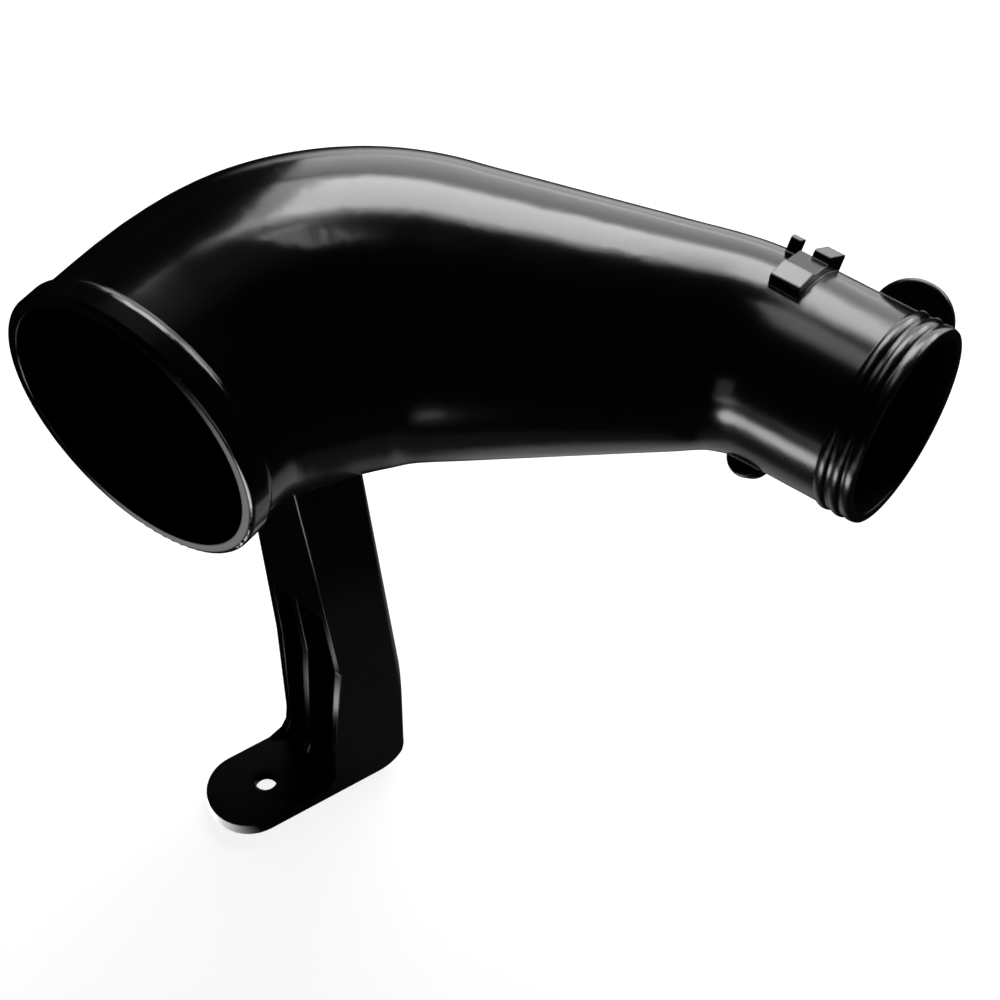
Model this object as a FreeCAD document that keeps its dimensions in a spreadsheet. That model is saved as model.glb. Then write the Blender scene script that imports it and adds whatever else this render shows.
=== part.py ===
import FreeCAD, Part
import os
import Sketcher

# Moulded air duct: wide inlet collar, sixty degree elbow, tapering body, narrow outlet neck,
# and a long channel leg with a bolt foot, all one piece of black plastic.
# Frame: origin at the bolt hole on the underside of the foot, Z up along the bolt,
# outlet neck along +X, inlet opening close to -Y. Millimetres.

doc = FreeCAD.newDocument("AirDuct")
sheet = doc.addObject("Spreadsheet::Sheet", "Sizes")

SIZES = [
    # air path
    ("duct_height", "152.4", "duct plane above the underside of the foot"),
    ("inlet_x", "-39.5", "inlet mouth centre"),
    ("inlet_y", "2.6", "inlet mouth centre"),
    ("inlet_straight", "17.8", "mouth to start of elbow"),
    ("elbow_bend", "80.5", "elbow centreline radius"),
    ("elbow_turn", "60", "degrees"),
    ("body_straight", "75.9", "tapering body between the two bends"),
    ("neck_bend", "61.7", "neck centreline radius"),
    ("neck_turn", "27.5", "degrees"),
    ("neck_straight", "38.2", "end of neck bend to mouth"),
    ("elbow_radius", "47.9", "outside at the middle of the elbow"),
    ("shoulder_radius", "44.9", "outside at the end of the elbow"),
    ("waist_radius", "33", "outside at the end of the taper"),
    ("neck_radius", "30.3", "outside of the neck"),
    ("wall", "2.5", "moulded wall"),
    ("bore_length", "28", "straight bore from the mouth"),
    ("bore_relief", "0.2", "the passage is wider by this behind the bore"),
    # inlet collar
    ("collar_radius", "46.4", "land the air box hose seals on"),
    ("collar_step", "1.4", "land over the tube behind it"),
    ("collar_length", "10", "along the axis"),
    ("collar_lead", "1.4", "rounded lead in at the mouth"),
    ("collar_fall", "3", "rounded shoulder behind the land, along the axis"),
    ("collar_sink", "0.4", "the shoulder ends this far inside the tube"),
    # outlet end: two round beads and a lip, with grooves between
    ("groove_step", "0.2", "floor of the grooves over the neck"),
    ("bead_rise", "0.7", "beads over the groove floor"),
    ("rear_bead", "11.6", "back of the rear bead from the mouth"),
    ("front_bead", "7", "back of the front bead from the mouth"),
    ("bead_width", "3.6", "along the axis"),
    ("lip_width", "3", "from the last groove to the mouth"),
    ("lip_rise", "0.3", "rounded lip over the groove floor"),
    # locating lug on the neck
    ("lug_front", "38.2", "outlet side of the lug from the mouth"),
    ("lug_length", "9.6", "along the neck"),
    ("lug_sink", "2.3", "the blocks start this far inside the neck"),
    ("lug_round", "1", "rounded edges"),
    ("near_clock", "-6", "degrees round the neck from straight up"),
    ("near_width", "8.6", "front block"),
    ("near_rise", "3.5", "over the neck"),
    ("floor_clock", "-20", "degrees"),
    ("floor_width", "12", "low bridge between the blocks"),
    ("floor_rise", "2.3", "over the neck"),
    ("far_clock", "-38", "degrees"),
    ("far_width", "11", "rear block"),
    ("far_rise", "4.7", "over the neck"),
    ("far_length", "5.6", "rear block is shorter"),
    ("fin_front", "49.4", "outlet side of the fin from the mouth"),
    ("fin_length", "3.4", "along the neck"),
    ("fin_clock", "-37", "degrees"),
    ("fin_width", "3.4", "small fin behind the lug"),
    ("fin_rise", "4.5", "over the neck"),
    # round ear and nub on the mould split of the neck
    ("split_clock", "-50", "degrees, plane of the ear and the nub"),
    ("ear_back", "12.8", "ear centre from the mouth"),
    ("ear_sink", "3.7", "ear centre inside the neck"),
    ("ear_radius", "12.6", "round outline"),
    ("ear_thick", "4.4", "across the ear"),
    ("nub_back", "36.6", "nub centre from the mouth"),
    ("nub_sink", "1.9", "nub centre inside the neck"),
    ("nub_radius", "6.2", "round outline"),
    ("nub_thick", "8", "across the nub"),
    ("rim_round", "1.2", "rounded rims of the ear and the nub"),
    # bracket
    ("bracket_turn", "22", "degrees, foot turned off the inlet axis"),
    ("foot_width", "27", "round toe, full radius"),
    ("toe_reach", "6", "centre of the round toe in front of the hole"),
    ("foot_thick", "5", "plate"),
    ("bolt_hole", "7", "clearance for an M6 bolt"),
    ("leg_back", "47.6", "back wall behind the hole"),
    ("leg_round", "2", "upright outside edges of the back wall"),
    ("leg_wall", "3", "back wall and front wall"),
    ("leg_web", "2.6", "three webs of the channel"),
    ("web_offset", "-1.6", "middle web off the centre line"),
    ("leg_lean", "0.21", "sideways per unit of height, towards the tube"),
    ("leg_inset", "20.4", "the leg ends inside the tube, below the duct plane"),
    ("leg_corner", "10", "outside radius where leg meets foot"),
    ("heel_top", "42", "back wall draws in below this height"),
    ("heel_draw", "4", "by this much above the corner"),
    ("heel_inside", "1", "pockets draw in further at the foot"),
    ("near_head", "24.5", "free edge of the near web at the tube, behind the hole"),
    ("far_head", "22.1", "free edge of the far web at the tube"),
    ("near_front", "27.2", "free edge of the near web at the top of the flare"),
    ("far_front", "19.8", "free edge of the far web at the top of the flare"),
    ("flare_top", "48", "webs deepen below this height"),
    ("near_flare", "19", "free edge of the near web above the fillet at the foot"),
    ("far_flare", "17", "free edge of the far web above the fillet at the foot"),
    ("fillet_rise", "9", "height of that fillet"),
    ("near_fillet", "2.5", "reach of the fillet on the near web"),
    ("far_fillet", "8", "reach of the fillet on the far web"),
    ("panel_base", "69.8", "front wall closes the channel above this"),
    ("panel_tilt", "9", "degrees, slope of its lower edge"),
    ("over", "3", "cutting tools run past the faces they cut"),
    # places that follow from the sizes above
    ("inlet_heading", "=elbow_turn + neck_turn", "so that the neck runs along X"),
    ("slope", "=neck_turn", "heading of the body"),
    ("run_x", "=inlet_x + inlet_straight * cos(inlet_heading)", "start of the elbow"),
    ("run_y", "=inlet_y + inlet_straight * sin(inlet_heading)", "start of the elbow"),
    ("bend_x", "=run_x + elbow_bend * sin(inlet_heading)", "elbow centre"),
    ("bend_y", "=run_y - elbow_bend * cos(inlet_heading)", "elbow centre"),
    ("body_x", "=bend_x - elbow_bend * sin(slope)", "start of the body"),
    ("body_y", "=bend_y + elbow_bend * cos(slope)", "start of the body"),
    ("turn_x", "=body_x + body_straight * cos(slope) + neck_bend * sin(slope)", "neck bend centre"),
    ("turn_y", "=body_y + body_straight * sin(slope) - neck_bend * cos(slope)", "neck bend centre"),
    ("outlet_y", "=turn_y + neck_bend", "neck axis"),
    ("outlet_x", "=turn_x + neck_straight", "outlet mouth"),
    ("taper", "=(waist_radius - shoulder_radius) / body_straight", "radius lost along the body"),
    ("elbow_half", "=elbow_bend * elbow_turn * pi / 360", "half the length of the elbow"),
    ("neck_arc", "=neck_bend * neck_turn * pi / 180", "length of the neck bend"),
    ("inlet_radius", "=collar_radius - collar_step", "outside of the tube behind the collar"),
    ("fall_drop", "=collar_radius - inlet_radius + collar_sink", "height of the shoulder"),
    ("fall_radius", "=(fall_drop ^ 2 + collar_fall ^ 2) / (2 * fall_drop)", "shoulder, tangent to the land"),
    ("groove_radius", "=neck_radius + groove_step", "floor of the grooves"),
    ("bead_arc", "=(bead_width ^ 2 / 4 + bead_rise ^ 2) / (2 * bead_rise)", "radius of the bead profile"),
    ("bead_sink", "=groove_radius + bead_rise - bead_arc", "centre of the bead profile"),
    ("lip_arc", "=(lip_width ^ 2 / 4 + lip_rise ^ 2) / (2 * lip_rise)", "radius of the lip profile"),
    ("lip_sink", "=groove_radius + lip_rise - lip_arc", "centre of the lip profile"),
    ("bore_x", "=outlet_x - bore_length", "inner end of the bore"),
    ("lug_root", "=neck_radius - lug_sink", "where the blocks start"),
    ("near_top", "=neck_radius + near_rise", "from the neck axis"),
    ("floor_top", "=neck_radius + floor_rise", "from the neck axis"),
    ("far_top", "=neck_radius + far_rise", "from the neck axis"),
    ("fin_top", "=neck_radius + fin_rise", "from the neck axis"),
    ("ear_rise", "=neck_radius - ear_sink", "ear centre from the neck axis"),
    ("nub_rise", "=neck_radius - nub_sink", "nub centre from the neck axis"),
    ("ear_y", "=outlet_y - ear_rise * sin(split_clock)", "ear centre"),
    ("ear_z", "=duct_height + ear_rise * cos(split_clock)", "ear centre"),
    ("nub_y", "=outlet_y + nub_rise * sin(split_clock)", "nub centre"),
    ("nub_z", "=duct_height - nub_rise * cos(split_clock)", "nub centre"),
    ("foot_half", "=foot_width / 2", "toe radius"),
    ("leg_top", "=duct_height - leg_inset", "end of the leg"),
    ("near_inside", "=(near_front + near_head) / 2 + leg_wall", "inside of the front wall, near side"),
    ("far_inside", "=(far_front + far_head) / 2 + leg_wall", "inside of the front wall, far side"),
    ("panel_half", "=foot_half / (cos(panel_tilt) + leg_lean * sin(panel_tilt))", "along the sloping edge"),
]
for row, (alias, value, note) in enumerate(SIZES, 1):
    sheet.set("A%d" % row, alias)
    sheet.set("B%d" % row, value)
    sheet.set("C%d" % row, note)
    sheet.setAlias("B%d" % row, alias)
doc.recompute()


def sized(text):
    # Spell a formula of size names as an expression on the sheet.
    words = sorted((alias for alias, _, _ in SIZES), key=len, reverse=True)
    out = ""
    while text:
        for word in words:
            rest = text[len(word):len(word) + 1]
            if text.startswith(word) and not (rest.isalnum() or rest == "_"):
                out += "Sizes." + word
                text = text[len(word):]
                break
        else:
            out += text[0]
            text = text[1:]
    return out


def number(text):
    value = sheet.evalExpression(sized(text))
    return float(getattr(value, "Value", value))


def new_body(name):
    return doc.addObject("PartDesign::Body", name)


def sketch_on(body, name, role, base=("0", "0", "0"), spin=None):
    # A sketch on an origin plane, moved by formulas and turned about one local axis.
    sketch = body.newObject("Sketcher::SketchObject", name)
    plane = next(p for p in body.Origin.OriginFeatures if p.Role == role)
    sketch.AttachmentSupport = [(plane, "")]
    sketch.MapMode = "FlatFace"
    turn = FreeCAD.Rotation()
    if spin:
        turn = FreeCAD.Rotation(FreeCAD.Vector(*spin[0]), 10)
    sketch.AttachmentOffset = FreeCAD.Placement(FreeCAD.Vector(0, 0, 0), turn)
    for axis, text in zip("xyz", base):
        if text != "0":
            sketch.setExpression("AttachmentOffset.Base." + axis, sized(text))
    if spin:
        sketch.setExpression("AttachmentOffset.Rotation.Angle", sized(spin[1]))
    return sketch


def hold(sketch, kind, item, point, text, name):
    index = sketch.addConstraint(Sketcher.Constraint(kind, -1, 1, item, point, number(text)))
    sketch.renameConstraint(index, name)
    sketch.setExpression("Constraints." + name, sized(text))


def place(sketch, item, point, x, y, name):
    # Pin a sketch point to two formulas; zero means on the axis.
    if x == "0":
        sketch.addConstraint(Sketcher.Constraint("PointOnObject", item, point, -2))
    else:
        hold(sketch, "DistanceX", item, point, x, name + "_x")
    if y == "0":
        sketch.addConstraint(Sketcher.Constraint("PointOnObject", item, point, -1))
    else:
        hold(sketch, "DistanceY", item, point, y, name + "_y")


def circle(sketch, radius, x="0", y="0"):
    spot = FreeCAD.Vector(number(x), number(y), 0)
    item = sketch.addGeometry(Part.Circle(spot, FreeCAD.Vector(0, 0, 1), number(radius)), False)
    if x == "0" and y == "0":
        sketch.addConstraint(Sketcher.Constraint("Coincident", item, 3, -1, 1))
    else:
        place(sketch, item, 3, x, y, "centre")
    index = sketch.addConstraint(Sketcher.Constraint("Radius", item, number(radius)))
    sketch.renameConstraint(index, "radius")
    sketch.setExpression("Constraints.radius", sized(radius))


def outline(sketch, corners):
    # A closed outline. A corner is (x, y); (x, y, centre_x, centre_y, radius) starts an arc
    # that runs anticlockwise to the next corner.
    spots = [FreeCAD.Vector(number(c[0]), number(c[1]), 0) for c in corners]
    items = []
    for i, corner in enumerate(corners):
        start = spots[i]
        end = spots[(i + 1) % len(spots)]
        if len(corner) == 2:
            items.append(sketch.addGeometry(Part.LineSegment(start, end), False))
            continue
        middle = FreeCAD.Vector(number(corner[2]), number(corner[3]), 0)
        ring = Part.Circle(middle, FreeCAD.Vector(0, 0, 1), number(corner[4]))
        arc = Part.ArcOfCircle(ring, ring.parameter(start), ring.parameter(end))
        items.append(sketch.addGeometry(arc, False))
    for i, item in enumerate(items):
        after = items[(i + 1) % len(items)]
        sketch.addConstraint(Sketcher.Constraint("Coincident", item, 2, after, 1))
        place(sketch, item, 1, corners[i][0], corners[i][1], "corner%d" % i)
    for i, corner in enumerate(corners):
        if len(corner) == 5:
            if corner[3] == "0":
                sketch.addConstraint(Sketcher.Constraint("PointOnObject", items[i], 3, -1))
            else:
                hold(sketch, "DistanceY", items[i], 3, corner[3], "arc%d_y" % i)


def pad(body, name, sketch, length, kind="PartDesign::Pad", side="One side", back=False):
    feature = body.newObject(kind, name)
    feature.Profile = sketch
    feature.SideType = side
    feature.Reversed = back
    if length == "all":
        feature.Type = "ThroughAll"
    else:
        feature.setExpression("Length", sized(length))
    sketch.Visibility = False
    return feature


def slant(feature, vector, texts):
    # Run a pad or pocket along a slanted direction instead of square to its sketch.
    feature.UseCustomVector = True
    feature.Direction = FreeCAD.Vector(*vector)
    for axis, text in texts.items():
        feature.setExpression("Direction." + axis, sized(text))


def revolve(body, name, sketch, axis):
    feature = body.newObject("PartDesign::Revolution", name)
    feature.Profile = sketch
    feature.ReferenceAxis = (sketch, [axis])
    feature.Angle = 360
    sketch.Visibility = False
    return feature


# Stations of the air path: name, centre, heading, outside radius. The radius eases from one
# named value to the next, and meets the straight taper of the body without a crease.
def ease(low, high, part, start="0", end="0"):
    swing = 3 * part ** 2 - 2 * part ** 3
    leave = part ** 3 - 2 * part ** 2 + part
    arrive = part ** 3 - part ** 2
    text = "%s + (%s - %s) * %.5f" % (low, high, low, swing)
    return text + " + %s * %.5f + %s * %.5f" % (start, leave, end, arrive)


def elbow(step, steps):
    part = step / steps
    if part <= 0.5:
        radius = ease("inlet_radius", "elbow_radius", part * 2)
    else:
        radius = ease("elbow_radius", "shoulder_radius", part * 2 - 1, end="taper * elbow_half")
    turn = "(inlet_heading - elbow_turn * %.5f)" % part
    x = "bend_x - elbow_bend * sin" + turn
    y = "bend_y + elbow_bend * cos" + turn
    return ("elbow%d" % step, x, y, turn, radius)


def body_at(step, steps):
    part = "body_straight * %.5f" % (step / steps)
    x = "body_x + %s * cos(slope)" % part
    y = "body_y + %s * sin(slope)" % part
    return ("body%d" % step, x, y, "slope", "shoulder_radius + taper * " + part)


def neck_at(step, steps):
    part = step / steps
    turn = "(slope - neck_turn * %.5f)" % part
    x = "turn_x - neck_bend * sin%s" % turn
    y = "turn_y + neck_bend * cos%s" % turn
    radius = ease("waist_radius", "neck_radius", part, start="taper * neck_arc")
    return ("neck%d" % step, x, y, turn, radius)


def inlet_at(name, shift):
    x = "inlet_x + %s * cos(inlet_heading)" % shift
    y = "inlet_y + %s * sin(inlet_heading)" % shift
    return (name, x, y, "inlet_heading", "inlet_radius")


def straight_at(step, steps):
    x = "turn_x + (neck_straight - lip_width) * %.5f" % (step / steps)
    return ("straight%d" % step, x, "outlet_y", "0", "neck_radius")


def relief_at(step, steps):
    x = "turn_x + (bore_x - turn_x) * %.5f" % (step / steps)
    return ("relief%d" % step, x, "outlet_y", "0", "neck_radius + bore_relief")


MOUTH = inlet_at("mouth", "collar_length / 4")
BEFORE = inlet_at("before", "(-over)")
PATH = [inlet_at("midway", "inlet_straight / 2")]
PATH += [elbow(step, 8) for step in range(9)]
PATH += [body_at(step, 7) for step in range(1, 8)]
PATH += [neck_at(step, 3) for step in range(1, 4)]
NECK = [straight_at(step, 4) for step in range(1, 5)]
RELIEF = [relief_at(step, 2) for step in range(3)]


def tube(body, kind, name, stations, inset):
    # A smooth tube through round sections at the stations.
    rings = []
    for label, x, y, heading, radius in stations:
        base = (x, "duct_height", "-(" + y + ")")
        spin = ((0, 1, 0), heading + " + 90")
        sketch = sketch_on(body, name + "_" + label, "XZ_Plane", base, spin)
        circle(sketch, radius + inset)
        sketch.Visibility = False
        rings.append(sketch)
    loft = body.newObject(kind, name)
    loft.Profile = rings[0]
    loft.Sections = rings[1:]
    loft.Ruled = False
    return loft


# Outer skin with its collar, bead, lug, ear and nub. The tube stops inside the two end discs.
skin = new_body("skin")
tube(skin, "PartDesign::AdditiveLoft", "skin_tube", [MOUTH] + PATH + NECK, "")

spot = ("inlet_x", "inlet_y", "duct_height")
collar = sketch_on(skin, "collar_profile", "XY_Plane", spot, ((0, 0, 1), "inlet_heading - 90"))
fall = "collar_length - collar_fall"
lead = "collar_radius - collar_lead"
outline(collar, [
    ("0", "0"),
    (lead, "0", lead, "collar_lead", "collar_lead"),
    ("collar_radius", "collar_lead"),
    ("collar_radius", fall, "collar_radius - fall_radius", fall, "fall_radius"),
    ("collar_radius - fall_drop", "collar_length"),
    ("0", "collar_length"),
])
revolve(skin, "collar", collar, "V_Axis")

bead = sketch_on(skin, "bead_profile", "XY_Plane", ("outlet_x", "outlet_y", "duct_height"))
floor = "groove_radius"
outline(bead, [
    ("-rear_bead", "0"),
    ("0", "0"),
    ("0", floor, "-lip_width / 2", "lip_sink", "lip_arc"),
    ("-lip_width", floor),
    ("bead_width - front_bead", floor, "bead_width / 2 - front_bead", "bead_sink", "bead_arc"),
    ("-front_bead", floor),
    ("bead_width - rear_bead", floor, "bead_width / 2 - rear_bead", "bead_sink", "bead_arc"),
    ("-rear_bead", floor),
])
revolve(skin, "bead", bead, "H_Axis")

for block, front, length in (
    ("near", "lug_front", "lug_length"),
    ("floor", "lug_front", "lug_length"),
    ("far", "lug_front", "far_length"),
    ("fin", "fin_front", "fin_length"),
):
    base = ("outlet_y", "duct_height", "outlet_x - " + front)
    face = sketch_on(skin, block + "_face", "YZ_Plane", base, ((0, 0, 1), block + "_clock"))
    half = block + "_width / 2"
    side = half + " - lug_round"
    top = block + "_top"
    under = top + " - lug_round"
    outline(face, [
        ("-" + half, "lug_root"),
        (half, "lug_root"),
        (half, under, side, under, "lug_round"),
        (side, top),
        ("-(%s)" % side, top, "-(%s)" % side, under, "lug_round"),
        ("-" + half, under),
    ])
    pad(skin, block + "_block", face, length, back=True)

for name in ("ear", "nub"):
    spot = ("outlet_x - %s_back" % name, name + "_y", name + "_z")
    rim = sketch_on(skin, name + "_profile", "XY_Plane", spot, ((1, 0, 0), "split_clock"))
    half = name + "_thick / 2"
    reach = name + "_radius"
    flat = reach + " - rim_round"
    outline(rim, [
        ("0", "-" + half),
        (flat, "-" + half, flat, "rim_round - " + half, "rim_round"),
        (reach, "rim_round - " + half),
        (reach, half + " - rim_round", flat, half + " - rim_round", "rim_round"),
        (flat, half),
        ("0", half),
    ])
    revolve(skin, name, rim, "V_Axis")

# Bracket, built square to its own foot and then turned. The foot points to -Y.
bracket = new_body("bracket")
foot = sketch_on(bracket, "foot_outline", "XY_Plane")
edge = "foot_half - leg_round"
rear = "leg_back - leg_round"
BACK = [
    ("foot_half", rear, edge, rear, "leg_round"),
    (edge, "leg_back"),
    ("-(%s)" % edge, "leg_back", "-(%s)" % edge, rear, "leg_round"),
    ("-foot_half", rear),
]
outline(foot, [
    ("-foot_half", "-toe_reach", "0", "-toe_reach", "foot_half"),
    ("foot_half", "-toe_reach"),
] + BACK)
pad(bracket, "foot", foot, "foot_thick")

# The leg is a channel that leans sideways: a sheared prism with two pockets open to the front,
# which leave a back wall and three webs. The back wall draws in at the heel, inside and outside.
front = "-toe_reach"


def at_level(name, level, corners):
    # An outline at a height on the leg, moved sideways by the lean.
    shift = "-leg_lean * (%s - foot_thick)" % level
    sketch = sketch_on(bracket, name, "XY_Plane", (shift, "0", level))
    outline(sketch, corners)
    sketch.Visibility = False
    return sketch


def carve(name, sections):
    # A cut that runs straight from one section to the next.
    feature = bracket.newObject("PartDesign::SubtractiveLoft", name)
    feature.Profile = sections[0]
    feature.Sections = sections[1:]
    feature.Ruled = True
    return feature


prism = at_level("leg_section", "foot_thick", [("-foot_half", front), ("foot_half", front)] + BACK)
leg = pad(bracket, "leg", prism, "leg_top - foot_thick")
slant(leg, (-0.2, 0, 1), {"x": "-leg_lean"})
DEPTHS = [
    ("foot_thick", "leg_back - heel_draw - leg_wall - heel_inside"),
    ("leg_corner", "leg_back - heel_draw - leg_wall"),
    ("heel_top", "leg_back - leg_wall"),
    ("leg_top", "leg_back - leg_wall"),
]
for side, left, right in (
    ("far", "leg_web - foot_half", "web_offset - leg_web / 2"),
    ("near", "web_offset + leg_web / 2", "foot_half - leg_web"),
):
    carve(side + "_pocket", [
        at_level("%s_pocket_%d" % (side, step), level, [
            (left, "-foot_width"), (right, "-foot_width"), (right, depth), (left, depth),
        ])
        for step, (level, depth) in enumerate(DEPTHS)
    ])

# A front wall closes the channel in its upper half. Its lower edge slopes.
lean = "-leg_lean * (panel_base - foot_thick)"
tilt = ((0, 1, 0), "-panel_tilt")
cover = sketch_on(bracket, "panel_section", "XY_Plane", (lean, "0", "panel_base"), tilt)
outline(cover, [
    ("-panel_half", front),
    ("panel_half", front),
    ("panel_half", "near_inside"),
    ("-panel_half", "far_inside"),
])
panel = pad(bracket, "panel", cover, "leg_top - panel_base")
slant(panel, (-0.2, 0, 1), {"x": "-leg_lean"})

# The free edges are cut back: a fillet rises from the foot, then they stand square to it, and
# further up they turn to face the inlet, with a twist between.
LEVELS = [
    ("foot_thick + fillet_rise * %.2f" % rise, "near_flare - near_fillet * %.3f" % reach,
     "far_flare - far_fillet * %.3f" % reach)
    for rise, reach in ((0, 1), (0.2, 0.4), (0.5, 0.134), (1, 0))
]
LEVELS.append(("flare_top", "near_front", "far_front"))
LEVELS.append(("leg_top", "near_head", "far_head"))
carve("front_twist", [
    at_level("front_at_%d" % step, level, [
        ("-foot_width", "-foot_width"),
        ("foot_width", "-foot_width"),
        ("foot_width", "1.5 * (%s) - 0.5 * (%s)" % (near, far)),
        ("-foot_width", "1.5 * (%s) - 0.5 * (%s)" % (far, near)),
    ])
    for step, (level, near, far) in enumerate(LEVELS)
])

heel = sketch_on(bracket, "heel_cut", "YZ_Plane")
low = "leg_back - heel_draw - leg_corner"
outline(heel, [
    (low, "0", low, "leg_corner", "leg_corner"),
    ("leg_back - heel_draw", "leg_corner"),
    ("leg_back", "heel_top"),
    ("leg_back + over", "heel_top"),
    ("leg_back + over", "-over"),
    (low, "-over"),
])
pad(bracket, "heel_round", heel, "foot_width * 4", "PartDesign::Pocket", "Symmetric")

bolt = sketch_on(bracket, "bolt_circle", "XY_Plane")
circle(bolt, "bolt_hole / 2")
pad(bracket, "bolt", bolt, "foot_thick + over", "PartDesign::Pocket", back=True)
bracket.setExpression("Placement.Rotation.Angle", sized("-bracket_turn"))

# The air passage, cut through skin and leg together.
passage = new_body("passage")
tube(passage, "PartDesign::AdditiveLoft", "air", [BEFORE] + PATH[:-1] + RELIEF, " - wall")
end = ("outlet_y", "duct_height", "bore_x - over")
bore = sketch_on(passage, "bore_circle", "YZ_Plane", end)
circle(bore, "neck_radius - wall")
pad(passage, "bore", bore, "bore_length + 2 * over")

joined = doc.addObject("Part::Fuse", "joined")
joined.Base = skin
joined.Tool = bracket
duct = doc.addObject("Part::Cut", "intake_duct")
duct.Label = "intake_duct"
duct.Base = joined
duct.Tool = passage
doc.recompute()

for item in doc.Objects:
    assert "Invalid" not in item.State and "Error" not in item.State, item.Name
    if item.isDerivedFrom("Part::Feature"):
        assert not item.Shape.isNull() and item.Shape.isValid(), item.Name
assert len(duct.Shape.Solids) == 1, "the duct is one moulded piece"

os.makedirs("parts", exist_ok=True)
duct.Shape.exportStep("parts/intake_duct.step")
box = duct.Shape.BoundBox
print("intake_duct volume %.0f mm3" % duct.Shape.Volume)
print("box", [round(v, 1) for v in (box.XMin, box.YMin, box.ZMin, box.XMax, box.YMax, box.ZMax)])
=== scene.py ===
import bpy
import math
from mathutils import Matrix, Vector

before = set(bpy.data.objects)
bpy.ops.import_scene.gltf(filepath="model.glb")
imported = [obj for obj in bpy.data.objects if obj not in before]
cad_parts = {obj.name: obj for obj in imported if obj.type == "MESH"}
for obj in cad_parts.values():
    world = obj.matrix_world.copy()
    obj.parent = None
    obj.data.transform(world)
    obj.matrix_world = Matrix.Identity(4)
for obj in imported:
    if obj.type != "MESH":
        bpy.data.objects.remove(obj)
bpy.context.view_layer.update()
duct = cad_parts["intake_duct"]
print("frame: loaded", sorted(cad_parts))


class Signal:
    # A shader value that is added, subtracted and multiplied like a number.
    def __init__(self, graph, socket):
        self.graph = graph
        self.socket = socket

    def maths(self, kind, other):
        return self.graph.add("ShaderNodeMath", {0: self, 1: other}, operation=kind).value()

    def __add__(self, other):
        return self.maths("ADD", other)

    def __sub__(self, other):
        return self.maths("SUBTRACT", other)

    def __mul__(self, other):
        return self.maths("MULTIPLY", other)

    def __radd__(self, other):
        return self + other

    def __rsub__(self, other):
        return self * -1.0 + other

    def __rmul__(self, other):
        return self * other

    def between(self, nothing, full):
        # Rises smoothly from 0 at the first value to 1 at the second.
        values = {"Value": self, "From Min": nothing, "From Max": full}
        node = self.graph.add("ShaderNodeMapRange", values, interpolation_type="SMOOTHSTEP", clamp=True)
        return node.value("Result")


class Made:
    # A new node whose outputs are read as signals.
    def __init__(self, graph, node):
        self.graph = graph
        self.node = node

    def value(self, name=0):
        return Signal(self.graph, self.node.outputs[name])


class Graph:
    # A node tree. Every node comes from its one method.
    def __init__(self, tree):
        self.tree = tree

    def add(self, kind, inputs=None, **settings):
        node = self.tree.nodes.new(kind)
        for name, value in settings.items():
            setattr(node, name, value)
        for key, value in (inputs or {}).items():
            if isinstance(value, Signal):
                self.tree.links.new(value.socket, node.inputs[key])
            else:
                node.inputs[key].default_value = value
        return Made(self, node)


def newMaterial(name):
    material = bpy.data.materials.new(name)
    material.use_nodes = True
    material.node_tree.nodes.clear()
    return material, Graph(material.node_tree)


def metres(*values):
    return Vector(value / 1000 for value in values)


# Black moulded plastic: glossy on the body and the inlet collar, less so on the outlet neck.
plastic = {
    "shade": 0.0007,
    "grey": 0.0013,
    "blueLift": 1.04,
    "index": 1.5,
    "bodyRough": 0.14,
    "neckRough": 0.2,
    "roughSpread": 0.05,  # from the flow and from the grain
    "grainScale": 2400.0,  # fine grain of the mould
    "grainDetail": 2.0,
    "grainDepth": 0.00001,
    "flowScale": 48.0,  # slow waves of the moulded skin
    "flowDetail": 3.0,
    "flowDepth": 0.00008,
    "edgeRadius": 0.0007,  # rounded moulded edges
    "edgeSamples": 4,
    "neckStart": 0.088,  # along X
    "neckFull": 0.1,
}


def noiseOf(graph, place, scale, detail):
    return graph.add("ShaderNodeTexNoise", {"Vector": place, "Scale": scale, "Detail": detail}).value(0)


def bumpOf(graph, height, normal):
    inputs = {"Strength": 1.0, "Distance": 1.0, "Height": height, "Normal": normal}
    return graph.add("ShaderNodeBump", inputs).value()


def makePlastic():
    material, graph = newMaterial("black moulded plastic")
    place = graph.add("ShaderNodeTexCoord").value("Object")
    along = graph.add("ShaderNodeSeparateXYZ", {0: place}).value("X")
    speck = noiseOf(graph, place, plastic["grainScale"], plastic["grainDetail"])
    patch = noiseOf(graph, place, plastic["flowScale"], plastic["flowDetail"])
    neck = along.between(plastic["neckStart"], plastic["neckFull"])
    rough = neck * (plastic["neckRough"] - plastic["bodyRough"]) + plastic["bodyRough"]
    rough = rough + (patch - 0.5) * plastic["roughSpread"] + (speck - 0.5) * plastic["roughSpread"]
    shade = patch * (plastic["grey"] - plastic["shade"]) + plastic["shade"]
    channels = {0: shade, 1: shade, 2: shade * plastic["blueLift"]}
    colour = graph.add("ShaderNodeCombineColor", channels).value()
    edgeInputs = {"Radius": plastic["edgeRadius"]}
    edge = graph.add("ShaderNodeBevel", edgeInputs, samples=plastic["edgeSamples"]).value()
    waves = bumpOf(graph, patch * plastic["flowDepth"], edge)
    skin = bumpOf(graph, speck * plastic["grainDepth"], waves)
    shader = graph.add("ShaderNodeBsdfPrincipled", {
        "Base Color": colour,
        "Roughness": rough,
        "IOR": plastic["index"],
        "Normal": skin,
    })
    graph.add("ShaderNodeOutputMaterial", {"Surface": shader.value()})
    return material


blackPlastic = makePlastic()
duct.data.materials.clear()
duct.data.materials.append(blackPlastic)
print("plastic: done")


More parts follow.
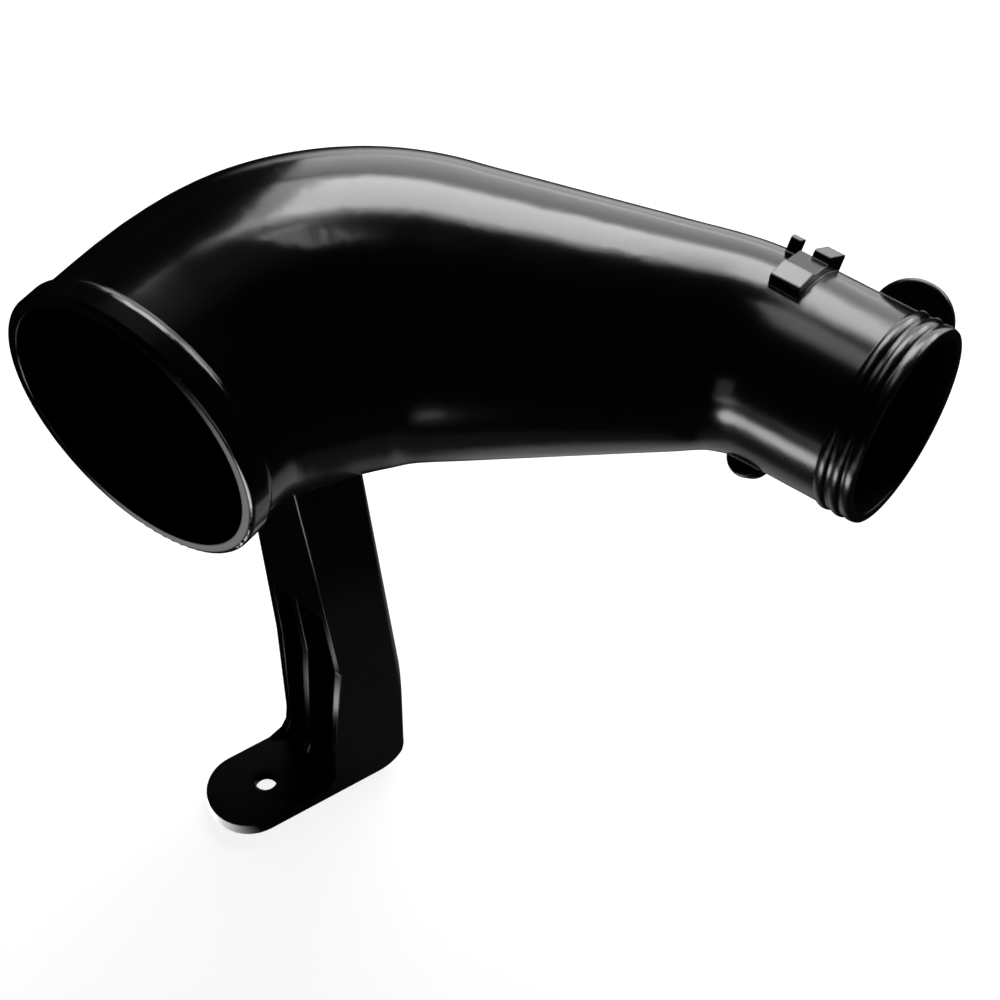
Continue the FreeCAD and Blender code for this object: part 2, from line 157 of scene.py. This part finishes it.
def stageSheet(name, material, left, right, front, back, height):
    # A flat sheet of the stage, in millimetres.
    mesh = bpy.data.meshes.new(name)
    spots = [(left, front), (right, front), (right, back), (left, back)]
    mesh.from_pydata([metres(across, along, height) for across, along in spots], [], [(0, 1, 2, 3)])
    mesh.materials.append(material)
    holder = bpy.data.objects.new(name, mesh)
    bpy.context.scene.collection.objects.link(holder)
    return holder


# Pale floor: white to the camera, with a soft shadow kept. Reflections see it only in painted pools of
# light, glowing with no lamp behind them, each full to one distance from its centre and gone at
# another.
floorSet = {
    "half": 3000,
    "tone": 0.3,
    "glow": 0.88,
    "pools": {
        "under the body": {"centre": (55, 105, 0), "full": 0.03, "end": 0.075, "shine": 0.36},
        "right of the leg": {"centre": (80, 28, 0), "full": 0.04, "end": 0.07, "shine": 0.05},
        "left of the foot": {"centre": (-90, -72, 0), "full": 0.025, "end": 0.05, "shine": 1.3},
        "at the toe": {"centre": (-14, -21, 0), "full": 0.012, "end": 0.025, "shine": 4.0},
        "before the neck": {"centre": (66, -176, 0), "full": 0.075, "end": 0.1, "shine": 9.0},
        "far in front": {"centre": (120, -740, 0), "full": 0.2, "end": 0.3, "shine": 2.4},
        "far behind": {"centre": (-180, 1050, 0), "full": 0.5, "end": 0.7, "shine": 1.3},
    },
}


def makeFloor():
    material, graph = newMaterial("pale floor")
    rays = graph.add("ShaderNodeLightPath")
    tone = floorSet["tone"]
    diffuse = graph.add("ShaderNodeBsdfDiffuse", {"Color": (tone, tone, tone, 1)})
    glow = graph.add("ShaderNodeEmission", {"Color": (1, 1, 1, 1), "Strength": floorSet["glow"]})
    seen = graph.add("ShaderNodeAddShader", {0: diffuse.value(), 1: glow.value()})
    place = graph.add("ShaderNodeTexCoord").value("Object")
    # Painted light: glowing pools on the floor that only reflections see, to lay highlights on the
    # duct.
    shine = 0.0
    for pool in floorSet["pools"].values():
        inputs = {0: place, 1: metres(*pool["centre"])}
        reach = graph.add("ShaderNodeVectorMath", inputs, operation="DISTANCE").value("Value")
        shine = shine + reach.between(pool["end"], pool["full"]) * pool["shine"]
    colour = graph.add("ShaderNodeCombineColor", {0: shine, 1: shine, 2: shine}).value()
    paintedPoolLight = graph.add("ShaderNodeEmission", {"Color": colour, "Strength": 1.0})
    glossy = rays.value("Is Glossy Ray")
    mix = graph.add("ShaderNodeMixShader", {0: glossy, 1: seen.value(), 2: paintedPoolLight.value()})
    graph.add("ShaderNodeOutputMaterial", {"Surface": mix.value()})
    half = floorSet["half"]
    stageSheet("floor", material, -half, half, -half, half, 0)


makeFloor()

# Soft boxes, all turned to the middle of the duct. The key and its halo lay the band of light on the
# top of the tube, the corner carries it on round the elbow, over and front lift the neck, right lights
# the shoulder of the collar, and the wall is the dim part of the room behind.
aim = metres(30, 85, 150)
lights = {
    "key": {"place": (-276, 685, 747), "wide": 0.46, "tall": 0.46, "power": 4.0},
    "halo": {"place": (-280, 680, 750), "wide": 0.68, "tall": 0.6, "power": 4.6},
    "corner": {"place": (-361, 359, 913), "wide": 0.3, "tall": 0.28, "power": 0.34},
    "over": {"place": (-190, 215, 1030), "wide": 0.3, "tall": 0.3, "power": 0.7},
    "right": {"place": (173, 895, 516), "wide": 0.42, "tall": 0.55, "power": 3.6},
    "wall": {"place": (-178, 1063, 290), "wide": 1.35, "tall": 0.55, "power": 4.7},
    "front": {"place": (250, -736, 190), "wide": 0.3, "tall": 0.3, "power": 0.14},
}


def makeLights():
    for name, facts in lights.items():
        lamp = bpy.data.lights.new(name, "AREA")
        lamp.shape = "RECTANGLE"
        lamp.size = facts["wide"]
        lamp.size_y = facts["tall"]
        lamp.energy = facts["power"]
        holder = bpy.data.objects.new(name, lamp)
        holder.location = metres(*facts["place"])
        holder.rotation_euler = (holder.location - aim).to_track_quat("Z", "Y").to_euler()
        bpy.context.scene.collection.objects.link(holder)


makeLights()

# Black cards that only reflections see: one over the inlet ends the band of light short of the
# collar, one beside the leg keeps the light off the top of the foot.
cards = {
    "inlet card": {"left": -170, "right": 20, "front": -60, "back": 73, "height": 278},
    "foot card": {"left": -90, "right": -16, "front": -8, "back": 55, "height": 60},
}


def makeCards():
    material, graph = newMaterial("black card")
    black = graph.add("ShaderNodeBsdfDiffuse", {"Color": (0, 0, 0, 1)})
    graph.add("ShaderNodeOutputMaterial", {"Surface": black.value()})
    for name, sides in cards.items():
        holder = stageSheet(name, material, **sides)
        holder.visible_camera = False
        holder.visible_diffuse = False
        holder.visible_shadow = False


makeCards()

backdrop = {"room": 0.006, "seen": 1.0}  # strength for the light of the room and for the camera


def makeBackdrop():
    world = bpy.data.worlds.new("studio")
    world.use_nodes = True
    world.node_tree.nodes.clear()
    graph = Graph(world.node_tree)
    rays = graph.add("ShaderNodeLightPath")
    room = graph.add("ShaderNodeBackground", {"Color": (1, 1, 1, 1), "Strength": backdrop["room"]})
    white = graph.add("ShaderNodeBackground", {"Color": (1, 1, 1, 1), "Strength": backdrop["seen"]})
    camera = rays.value("Is Camera Ray")
    mix = graph.add("ShaderNodeMixShader", {0: camera, 1: room.value(), 2: white.value()})
    graph.add("ShaderNodeOutputWorld", {"Surface": mix.value()})
    bpy.context.scene.world = world


makeBackdrop()
print("stage: floor, lights, cards and backdrop done")

# Camera at the photograph's angle, in millimetres and degrees.
shot = {
    "place": (341.1, -350.2, 791.1),
    "azimuth": 35.52,
    "elevation": 52.9,
    "lens": 104.4,
    "sensor": 36.0,
    "farthest": 20.0,  # metres
}


def makeCamera():
    around = math.radians(shot["azimuth"])
    up = math.radians(shot["elevation"])
    back = Vector((math.sin(around) * math.cos(up), -math.cos(around) * math.cos(up), math.sin(up)))
    lens = bpy.data.cameras.new("camera")
    lens.lens = shot["lens"]
    lens.sensor_width = shot["sensor"]
    lens.clip_end = shot["farthest"]
    camera = bpy.data.objects.new("camera", lens)
    camera.location = metres(*shot["place"])
    camera.rotation_euler = back.to_track_quat("Z", "Y").to_euler()
    bpy.context.scene.collection.objects.link(camera)
    bpy.context.scene.camera = camera
    bpy.context.scene.view_settings.view_transform = "Standard"


makeCamera()
print("camera: done")
